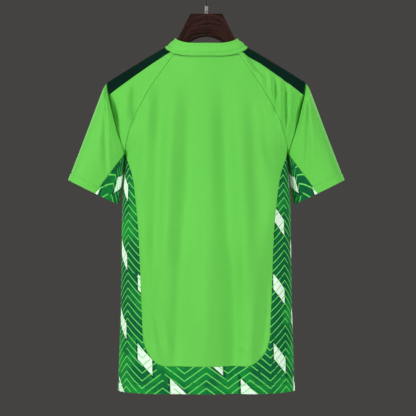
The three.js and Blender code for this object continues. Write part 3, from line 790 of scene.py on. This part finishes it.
# Materials
class Paint:
    """A principled material with short ways to add nodes."""

    def __init__(self, name, **constants):
        self.material = bpy.data.materials.new(name)
        self.material.use_nodes = True
        self.tree = self.material.node_tree
        self.shader = self.tree.nodes["Principled BSDF"]
        for key, value in constants.items():
            self.shader.inputs[key.replace("_", " ")].default_value = value

    def put(self, socket, value):
        if isinstance(value, bpy.types.NodeSocket):
            self.tree.links.new(value, socket)
        else:
            socket.default_value = value

    def node(self, kind, values, output=0, **settings):
        node = self.tree.nodes.new("ShaderNode" + kind)
        for key, value in settings.items():
            setattr(node, key, value)
        for key, value in values.items():
            self.put(node.inputs[key], value)
        return node.outputs[output]

    def sum(self, operation, *values):
        return self.node("Math", dict(enumerate(values)), operation=operation)

    def uv(self):
        apart = self.node("SeparateXYZ", {0: self.node("TexCoord", {}, "UV")})
        return apart, apart.node.outputs[1]

    def place(self, scale):
        return self.node("Mapping", {"Vector": self.node("TexCoord", {}, "Object"), "Scale": scale})

    def noise(self, vector, scale, detail=3.0):
        return self.node("TexNoise", {"Vector": vector, "Scale": scale, "Detail": detail})

    def mix(self, share, a, b):
        return self.node("Mix", {0: share, 6: a, 7: b}, 2, data_type="RGBA")

    def ramp(self, value, low, high):
        return self.node("MapRange", {0: value, 1: low, 2: high}, interpolation_type="SMOOTHSTEP")

    def finish(self, **sockets):
        for key, value in sockets.items():
            self.put(self.shader.inputs[key.replace("_", " ")], value)
        return self.material


def knit_height(paint, wale=1.15, course=0.85):
    """Loops of the knit, from metric coordinates."""
    u, v = paint.uv()
    lean = paint.sum("MULTIPLY", paint.sum("PINGPONG", u, wale / 2), 0.7)
    columns = paint.sum("SINE", paint.sum("MULTIPLY", u, 2 * math.pi / wale))
    rows = paint.sum("SINE", paint.sum("MULTIPLY", paint.sum("ADD", v, lean), 2 * math.pi / course))
    loops = paint.sum("MULTIPLY", paint.sum("ADD", paint.sum("ABSOLUTE", columns), rows), 0.5)
    fuzz = paint.noise(paint.place((1, 1, 1)), 1500, 2)
    return paint.sum("ADD", loops, paint.sum("MULTIPLY", fuzz, 0.6))


def cloth_paint(name, low, high, roughness=0.8, sheen=0.04, wale=1.15, shine=0.22):
    paint = Paint(name, Sheen_Weight=sheen, Sheen_Roughness=0.45, Specular_IOR_Level=shine)
    cloudy = paint.noise(paint.place((1, 1, 0.35)), 9, 4)
    fine = paint.noise(paint.place((1, 1, 1)), 420, 3)
    share = paint.sum("ADD", paint.sum("MULTIPLY", cloudy, 0.6), paint.sum("MULTIPLY", fine, 0.4))
    colour = paint.mix(paint.ramp(share, 0.3, 0.7), (*low, 1), (*high, 1))
    rough = paint.sum("ADD", roughness - 0.05, paint.sum("MULTIPLY", fine, 0.1))
    bump = paint.node("Bump", {"Strength": 0.35, "Distance": 0.00018, "Height": knit_height(paint, wale)})
    return paint.finish(Base_Color=colour, Roughness=rough, Normal=bump)


def print_paint():
    """A plain repeat: zigzag lines and pale lozenges on mottled dark green."""
    paint = Paint("print_cloth", Sheen_Weight=0.01, Sheen_Roughness=0.45, Specular_IOR_Level=0.12)
    u, v = paint.uv()
    blotch = paint.noise(paint.place((1, 1, 1)), 15, 4)
    ground = paint.mix(paint.ramp(blotch, 0.38, 0.64), (0.0, 0.112, 0.032, 1), (0.005, 0.26, 0.036, 1))
    wide = paint.sum("PINGPONG", u, 47)
    slanted = paint.sum("ADD", v, paint.sum("MULTIPLY", wide, 0.75))
    line = paint.sum("PINGPONG", slanted, 8.2)
    lines = paint.ramp(line, 1.6, 1.05)
    broken = paint.ramp(paint.noise(paint.place((1, 1, 1)), 38, 2), 0.34, 0.4)
    columns = paint.sum("DIVIDE", paint.sum("ADD", u, 21), 76)
    half_drop = paint.sum("MULTIPLY", paint.sum("FLOORED_MODULO", paint.sum("FLOOR", columns), 2), 0.5)
    rows = paint.sum("ADD", paint.sum("DIVIDE", v, 150), half_drop)
    across = paint.sum("SUBTRACT", paint.sum("FRACT", columns), 0.5)
    down = paint.sum("SUBTRACT", paint.sum("FRACT", rows), 0.5)
    leaning = paint.sum("ADD", across, paint.sum("MULTIPLY", down, 1.1))
    shape = paint.sum(
        "ADD",
        paint.sum("MULTIPLY", paint.sum("ABSOLUTE", leaning), 4.2),
        paint.sum("MULTIPLY", paint.sum("ABSOLUTE", down), 4.4),
    )
    lozenge = paint.ramp(shape, 1.02, 0.97)
    rim = paint.ramp(shape, 1.3, 1.25)
    ground = paint.mix(rim, ground, (0.0, 0.08, 0.024, 1))
    ground = paint.mix(lozenge, ground, (0.76, 0.93, 0.78, 1))
    strength = paint.sum("MULTIPLY", paint.sum("MULTIPLY", lines, broken), 0.9)
    colour = paint.mix(strength, ground, (0.16, 0.72, 0.12, 1))
    bump = paint.node("Bump", {"Strength": 0.35, "Distance": 0.00018, "Height": knit_height(paint)})
    fine = paint.noise(paint.place((1, 1, 1)), 420, 3)
    rough = paint.sum("ADD", 0.7, paint.sum("MULTIPLY", fine, 0.12))
    return paint.finish(Base_Color=colour, Roughness=rough, Normal=bump)


def wood_paint():
    paint = Paint("stained_wood", Specular_IOR_Level=0.06)
    u, v = paint.uv()
    flat = paint.node("CombineXYZ", {0: paint.sum("MULTIPLY", u, 0.04), 1: v, 2: 0.0})
    warp = paint.noise(flat, 0.12, 4)
    bands = paint.sum("SINE", paint.sum("MULTIPLY", paint.sum("ADD", v, paint.sum("MULTIPLY", warp, 26)), 1.3))
    streaks = paint.noise(flat, 1.6, 6)
    share = paint.sum("ADD", paint.sum("MULTIPLY", bands, 0.12), streaks)
    colour = paint.mix(paint.ramp(share, 0.36, 0.66), (0.006, 0.003, 0.0026, 1), (0.044, 0.0165, 0.012, 1))
    pores = paint.ramp(paint.noise(flat, 9, 3), 0.62, 0.7)
    colour = paint.mix(pores, colour, (0.006, 0.003, 0.0025, 1))
    joint = paint.node("SeparateXYZ", {0: paint.node("TexCoord", {}, "Object")})
    glue = paint.ramp(paint.sum("ABSOLUTE", joint), 0.0016, 0.0009)
    colour = paint.mix(paint.sum("MULTIPLY", glue, 0.75), colour, (0.004, 0.002, 0.002, 1))
    bump = paint.node("Bump", {"Strength": 0.3, "Distance": 0.00012, "Height": share})
    rough = paint.sum("ADD", 0.6, paint.sum("MULTIPLY", streaks, 0.18))
    return paint.finish(Base_Color=colour, Roughness=rough, Normal=bump)


def metal_paint(name, colour, roughness, metallic, stretch, shine=0.5):
    paint = Paint(name, Metallic=metallic, Specular_IOR_Level=shine)
    scratches = paint.noise(paint.place(stretch), 1, 4)
    shade = tuple(c * 0.75 for c in colour)
    tone = paint.mix(paint.ramp(scratches, 0.3, 0.7), (*shade, 1), (*colour, 1))
    rough = paint.sum("ADD", roughness, paint.sum("MULTIPLY", scratches, 0.15))
    bump = paint.node("Bump", {"Strength": 0.15, "Distance": 0.00005, "Height": scratches})
    return paint.finish(Base_Color=tone, Roughness=rough, Normal=bump)


knit = cloth_paint("knit_cloth", (0.118, 0.545, 0.068), (0.14, 0.6, 0.082))
rib = cloth_paint("rib_cloth", (0.13, 0.57, 0.075), (0.155, 0.64, 0.092), wale=0.9)
band = cloth_paint("band_cloth", (0.0004, 0.012, 0.007), (0.001, 0.022, 0.0135), sheen=0.0, shine=0.05)
thread = cloth_paint("sewing_thread", (0.13, 0.58, 0.08), (0.19, 0.7, 0.12), roughness=0.6, wale=0.4)
dark_thread = cloth_paint("dark_thread", (0.0, 0.1, 0.028), (0.004, 0.17, 0.04), roughness=0.6, wale=0.4)
printed = print_paint()
wood = wood_paint()
steel = metal_paint("brushed_steel", (0.24, 0.237, 0.23), 0.45, 1.0, (60, 60, 2600))
black = metal_paint("black_wire", (0.006, 0.006, 0.006), 0.5, 0.0, (900, 900, 200), 0.3)


def dress(piece, material, slot, *nodes):
    piece.data.materials.append(material)
    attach(piece, "root")
    if nodes:
        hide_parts(*nodes)
    return piece


def metric(x, z):
    return np.stack([x, z], -1)


# Cloth pieces
ALL_EDGES = ((0, -1), (0, 1), (1, -1), (1, 1))
for label, side, node in (("back", 1, "back_panel"), ("front", -1, "front_panel")):
    x, z = panel(side, 140)
    p, n = skin(x, z, side)
    under_collar = np.exp(-((from_edges(p, ((1, 1),)) / 3.2) ** 2))
    p = p - n * (2.3 * under_collar)[..., None]
    seams = ALL_EDGES if side > 0 else ((0, -1), (0, 1), (1, 1))
    dress(shell(f"cloth_{label}", p, n, metric(x, z), edges=seams), knit, "knit", node)

a, z, hand = side_and_hem(46)
p, n = skin(hand * x_at_round(a, z), z, np.where(a < 0, -1.0, 1.0))
middle = QUARTER_ROUND + body_half(z) - ROUNDING
uv = metric(hand * (middle - a), z)
wrap_seams = from_edges(p, ((0, -1), (0, 1)))
hem_side = np.exp(-((wrap_seams / 1.7) ** 2)) * ease((z - HEM_Z) / 3)
dress(
    shell("cloth_side_and_hem", p - n * (1.5 * hem_side)[..., None], n, uv),
    printed, "print", "side_and_hem_panel",
)

yoke_last = len(YOKE[1]) - 1
yoke_places = np.arange(-yoke_last, yoke_last + 1).astype(float)
yoke_across = 0.5 - 0.5 * np.cos(np.linspace(0, math.pi, 61))
band_places = np.linspace(BAND_STEPS * BAND_BARE, BAND_STEPS, 26)
sleeve_t = np.concatenate(
    [np.linspace(0, 0.12, 17)[:-1], np.linspace(0.12, 0.86, 50)[:-1], np.linspace(0.86, 1, 30)]
)
sleeve_w = np.sin(np.linspace(-1, 1, 161) * math.pi / 2)
gusset_w = 0.5 - 0.5 * np.cos(np.linspace(0, math.pi, 61))
for label, hand in (("left", -1.0), ("right", 1.0)):
    x, z, side = yoke(yoke_across, yoke_places)
    p, n = skin(hand * x, z, side)
    run = np.cumsum(np.linalg.norm(np.diff(p[30], axis=0, prepend=p[30][:1]), axis=-1))
    uv = metric(x, np.broadcast_to(run, x.shape))
    piece = shell(f"cloth_shoulder_{label}", p, n, uv, edges=((0, -1), (0, 1)))
    dress(piece, knit, "knit", f"shoulder_{label}")

    x, z, side = yoke(yoke_across, band_places)
    p, n = skin(hand * x, z, side)
    piece = shell(
        f"cloth_band_{label}", p, n, metric(x, z), thick=0.8, lift=1.05, edges=ALL_EDGES, groove=(0.45, 1.4)
    )
    dress(piece, band, "band", f"shoulder_band_{label}")

    t, w = np.meshgrid(sleeve_t, sleeve_w, indexing="ij")
    angle = w * gusset_angle(t)
    p, n = sleeve(t, angle, hand)
    piece = shell(
        f"cloth_sleeve_{label}", p, n, metric(angle * 60, t * 215), edges=((0, -1), (1, -1), (1, 1))
    )
    dress(piece, knit, "knit", f"sleeve_{label}")

    t, w = np.meshgrid(np.append(0.014, sleeve_t[1:]), gusset_w, indexing="ij")
    edge = gusset_angle(t)
    angle = lerp(edge, 2 * math.pi - edge, w)
    p, n = sleeve(t, angle, hand)
    piece = shell(f"cloth_gusset_{label}", p, n, metric(angle * 62, t * 125), edges=((1, -1), (1, 1)))
    dress(piece, printed, "print", f"gusset_{label}")


RIBS = 190
RIB_RISE = 0.16
COLLAR_WAVE = 0.35
# Lines round the collar: share of its height, half width, rise
COLLAR_LINES = [
    (0.0, 0.035, -2.2),
    (0.11, 0.09, 1.5),
    (0.3, 0.045, -1.2),
    (0.5, 0.14, 0.4),
    (0.84, 0.08, -0.7),
    (0.97, 0.05, 0.5),
]


def collar_piece():
    """The doubled rib band, with its rounded top edge and fine ribs."""
    per_rib = 6
    angles = np.linspace(0, 2 * math.pi, 721)[:-1]
    edge = collar_base(angles, angles * 0)
    steps = np.linalg.norm(np.diff(np.append(edge, edge[:1], 0), axis=0), axis=1)
    run = np.concatenate([[0], np.cumsum(steps)])
    spots = np.linspace(0, run[-1], RIBS * per_rib + 1)[:-1]
    angle = np.interp(spots, run, np.append(angles, 2 * math.pi))
    half = RIB / 2
    ups = np.linspace(0, 1, 30)
    caps = np.linspace(0, math.pi, 7)[1:-1]
    outer = [(up, 0.0, 0.0) for up in ups]
    top = [(1.0, half * (1 - math.cos(c)), 0.8 * half * math.sin(c)) for c in caps]
    inner = [(up, RIB, 0.0) for up in ups[::-1]]
    high = np.ones_like(angle)
    climb = unit(collar_base(angle, high) - collar_base(angle, 0.9 * high))
    ring = []
    for up, deep, over in outer + top + inner:
        p, n = collar(angle, up * high)
        rise = RIB_RISE * np.cos(2 * math.pi * RIBS * spots / run[-1])
        rise = rise + COLLAR_WAVE * np.sin(3 * angle + 1.1) * math.sin(math.pi * up)
        rise = rise + sum(height * math.exp(-(((up - at) / wide) ** 2)) for at, wide, height in COLLAR_LINES)
        ring.append(p + n * (rise * (1 if deep < half else -0.3) - deep)[:, None] + climb * over)
    sections = np.stack(ring, 1)
    uv = np.stack(np.broadcast_arrays(spots[:, None], np.linspace(0, 60, len(ring))[None, :]), -1)
    return closed_loft("cloth_collar", sections, uv, ring=True, sharp=60)


dress(collar_piece(), rib, "rib", "collar")


# Wood, ferrule and hook
WOOD = {"top": -72.0, "top_half": 35.0, "neck_x": 63.4, "neck_z": -127.0, "neck_thick": 8.0, "arm_thick": 10.0}
ARCH = {"half": 56.0, "top": -121.5, "height": 60.0}
ARM = {"start": 92.0, "end": 206.0, "end_height": 31.0, "clear": 2.8}


def wood_top(x):
    if x <= WOOD["top_half"]:
        return WOOD["top"]
    if x <= WOOD["neck_x"]:
        share = (x - WOOD["top_half"]) / (WOOD["neck_x"] - WOOD["top_half"])
        return lerp(WOOD["top"], WOOD["neck_z"], share)
    if x >= ARM["start"]:
        return float(ridge_z(x)) - ARM["clear"]
    share = (x - WOOD["neck_x"]) / (ARM["start"] - WOOD["neck_x"])
    return lerp(WOOD["neck_z"], float(ridge_z(ARM["start"])) - ARM["clear"], float(quarter(share)))


def wood_bottom(x):
    crown = ARCH["top"] - ARCH["height"]
    if x < ARCH["half"]:
        return crown + ARCH["height"] * math.sqrt(1 - (x / ARCH["half"]) ** 2)
    end = float(ridge_z(ARM["end"])) - ARM["clear"] - ARM["end_height"]
    return lerp(crown, end, (x - ARCH["half"]) / (ARM["end"] - ARCH["half"]))


def hanger_half(name, hand):
    places = np.concatenate(
        [
            np.linspace(0.12, 35, 16), [35.15, 35.6], np.linspace(36.2, 54, 14), np.linspace(54.5, 57, 10),
            np.linspace(57.6, 92, 22), np.linspace(94, ARM["end"] - 10, 44),
            ARM["end"] - 9 * (1 - np.sin(np.linspace(0, math.pi / 2, 14))),
        ]
    )
    sections, uvs = [], []
    for x in places:
        tip = min(1.0, max(0.0, (ARM["end"] - x) / 9))
        shrink = 0.35 + 0.65 * math.sqrt(1 - (1 - tip) ** 2)
        share = float(ease((x - 50) / 60))
        thick = lerp(WOOD["neck_thick"], WOOD["arm_thick"], share) * shrink
        edge = min(lerp(2.5, 8.5, share), thick - 0.4)
        middle = (wood_top(x) + wood_bottom(x)) / 2
        high = (wood_top(x) - wood_bottom(x)) / 2 * shrink
        ring, marks = [], []
        for corner in range(4):
            for turn in np.linspace(corner, corner + 1, 7):
                angle = turn * math.pi / 2
                y = (1 if corner in (0, 3) else -1) * (thick - edge) + edge * math.cos(angle)
                z = (1 if corner < 2 else -1) * (high - edge) + edge * math.sin(angle)
                ring.append((hand * x, y, middle + z))
                marks.append((hand * x * 1.25 + 400, z + 0.35 * y))
        sections.append(ring)
        uvs.append(marks)
    return closed_loft(name, np.array(sections), np.array(uvs), sharp=28)


def turned(name, profile, at, steps=40):
    angles = np.linspace(0, 2 * math.pi, steps + 1)[:-1]
    sections = np.array([[(r * math.cos(a), r * math.sin(a), at + z) for a in angles] for r, z in profile])
    return closed_loft(name, sections, sharp=35)


# Ferrule: radius and height. Ferrule and rod each stand on what is below with a gap.
FERRULE_PROFILE = [
    (3.5, 0), (3.5, 1.4), (3.3, 1.7), (3.3, 2.1), (3.5, 2.4), (3.5, 15.4), (3.38, 16.6), (3.0, 17.6), (2.5, 18.2)
]
GAP = 0.3
# Hook: radii of the rod and of its bend, degrees where the bend begins and ends, and from the foot up
# the straight length and the first handle of the swing, with the last one's length
HOOK = {"wire": 2.4, "bend": 20.0, "begin": -15, "end": 200, "straight": 11.5, "swing": 22.5, "lead": 9}
ROD_ANGLES = np.linspace(0, 2 * math.pi, 17)[:-1]


def on_bend(degrees):
    angle = math.radians(degrees)
    bend = HOOK["bend"]
    return np.array([bend * math.cos(angle), HOOK["wire"] - bend + bend * math.sin(angle)])


def rod_section(at, side, size):
    flat = at[:, None] + size * np.cos(ROD_ANGLES) * side[:, None]
    return np.stack([flat[0], size * np.sin(ROD_ANGLES), flat[1]], -1)


def hook_piece():
    wire, foot = HOOK["wire"], WOOD["top"] + FERRULE_PROFILE[-1][1] + 2 * GAP
    join, lean = on_bend(HOOK["begin"]), math.radians(-HOOK["begin"])
    before = join - HOOK["lead"] * np.array([math.sin(lean), math.cos(lean)])
    straight = foot + HOOK["straight"]
    swing = [(0.0, straight), (0.0, foot + HOOK["swing"]), tuple(before), tuple(join)]
    line = np.concatenate(
        [
            np.stack([np.zeros(5), np.linspace(foot, straight, 5)], -1),
            bezier(swing, np.linspace(0, 1, 25))[1:],
            np.array([on_bend(degrees) for degrees in np.linspace(HOOK["begin"], HOOK["end"], 70)[1:]]),
        ]
    )
    forward = unit(np.gradient(line, axis=0))
    across = np.stack([forward[:, 1], -forward[:, 0]], -1)
    sections = [rod_section(at, side, wire) for at, side in zip(line, across)]
    for angle in np.linspace(0, math.pi / 2, 6)[1:-1]:
        at = line[-1] + forward[-1] * wire * 0.35 * math.sin(angle)
        sections.append(rod_section(at, across[-1], wire * math.cos(angle)))
    return closed_loft("hook_rod", np.array(sections), sharp=50)


for label, hand in (("left", -1), ("right", 1)):
    dress(hanger_half(f"wooden_{label}", hand), wood, "wood", f"hanger_{label}")
dress(turned("steel_ferrule", FERRULE_PROFILE, WOOD["top"] + GAP), steel, "ferrule", "hook_ferrule")
dress(hook_piece(), black, "hook", "hook_wire")


# Sewing threads: hem, cuffs and collar
def hem_line(up, side):
    z_at = HEM_Z + up
    half = float(body_half(np.float64(z_at)))
    x = half * np.sin(np.linspace(-1, 1, 700) * math.pi / 2) * 0.9995
    return skin(x, np.full_like(x, z_at), float(side))


def cuff_line(up, hand, under):
    """Points above the cuff on the sleeve, or on the underarm piece."""
    share = np.linspace(0, 1, 400)
    t = np.full_like(share, 0.93)
    for _ in range(6):
        edge = gusset_angle(t)
        angle = lerp(edge, 2 * math.pi - edge, share) if under else lerp(-edge, edge, share)
        t = 1 - up * LAST_PART / cuff_reach(angle)
    return sleeve(t, angle, hand)


for side, label in ((1, "back"), (-1, "front")):
    lines = [hem_line(up, side) for up in (HEM_UP - 1.2, HEM_UP + 1.2)]
    dress(stitches(f"thread_hem_{label}", lines), dark_thread, "print")
for label, hand in (("left", -1.0), ("right", 1.0)):
    lines = [cuff_line(up, hand, False) for up in (CUFF_UP - 1.1, CUFF_UP + 1.1)]
    dress(stitches(f"thread_cuff_{label}", lines), thread, "knit")
    lines = [cuff_line(up, hand, True) for up in (CUFF_UP - 1.1, CUFF_UP + 1.1)]
    dress(stitches(f"thread_gusset_{label}", lines), dark_thread, "print")
angles = np.linspace(0, 2 * math.pi, 900)
p, n = collar(angles, np.full_like(angles, 0.3))
collar_stitches = stitches("thread_collar", [(p - n * 0.95, n)], length=2.2, pitch=3.0, radius=0.28)
collar_thread = dress(collar_stitches, thread, "rib")


# Stage, in metres: name, place, size and power of each lamp, and the point that all face
LAMPS = [
    ("key", (-2.46, -1.5, 0.35), 0.7, 65.5),
    ("fill", (2.03, -2.27, 0.2), 0.9, 59.5),
    ("top", (0.2, 0.2, 1.9), 1.4, 16),
    ("rear_left", (-1.9, 2.4, 0.4), 1.4, 40),
    ("rear_right", (1.9, 2.4, 0.4), 1.4, 40),
    ("low", (0.0, -1.9, -1.2), 1.2, 6),
]
LAMP_GOAL = (0.0, 0.0, -0.48)
FLOOR = {"z": -1.35, "radius": 2.0}


def stage():
    turns = np.linspace(0, 2 * math.pi, 97)[:-1]
    rim = [(FLOOR["radius"] * math.cos(a), FLOOR["radius"] * math.sin(a), FLOOR["z"]) for a in turns]
    mesh = bpy.data.meshes.new("floor")
    mesh.from_pydata(rim, [], [list(range(len(rim)))])
    floor = bpy.data.objects.new("floor", mesh)
    paint = Paint("floor_paint", Roughness=0.75)
    cloud = paint.noise(paint.place((1, 1, 1)), 5, 4)
    tone = paint.mix(paint.ramp(cloud, 0.3, 0.7), (0.60, 0.595, 0.585, 1), (0.64, 0.635, 0.625, 1))
    mesh.materials.append(paint.finish(Base_Color=tone))
    bpy.context.scene.collection.objects.link(floor)
    for name, at, size, power in LAMPS:
        light = bpy.data.lights.new(name, "AREA")
        light.energy, light.size = power, size
        lamp = bpy.data.objects.new(name, light)
        lamp.location = at
        lamp.visible_camera = False
        goal = np.array(LAMP_GOAL) - np.array(at)
        flat = math.hypot(goal[0], goal[1])
        lamp.rotation_euler = (math.atan2(flat, -goal[2]), 0, math.atan2(goal[1], goal[0]) - math.pi / 2)
        bpy.context.scene.collection.objects.link(lamp)
    world = bpy.data.worlds.new("studio")
    world.use_nodes = True
    world.node_tree.nodes["Background"].inputs[0].default_value = (0.059, 0.0565, 0.0535, 1)
    bpy.context.scene.world = world


stage()
camera = bpy.data.objects.new("camera", bpy.data.cameras.new("camera"))
camera.data.lens, camera.data.sensor_width = 98.3, 36
camera.location = (0.0037, -2.5, -0.4988)
camera.rotation_euler = (math.pi / 2, 0, 0)
bpy.context.scene.collection.objects.link(camera)
bpy.context.scene.camera = camera
bpy.context.scene.view_settings.view_transform = "Standard"
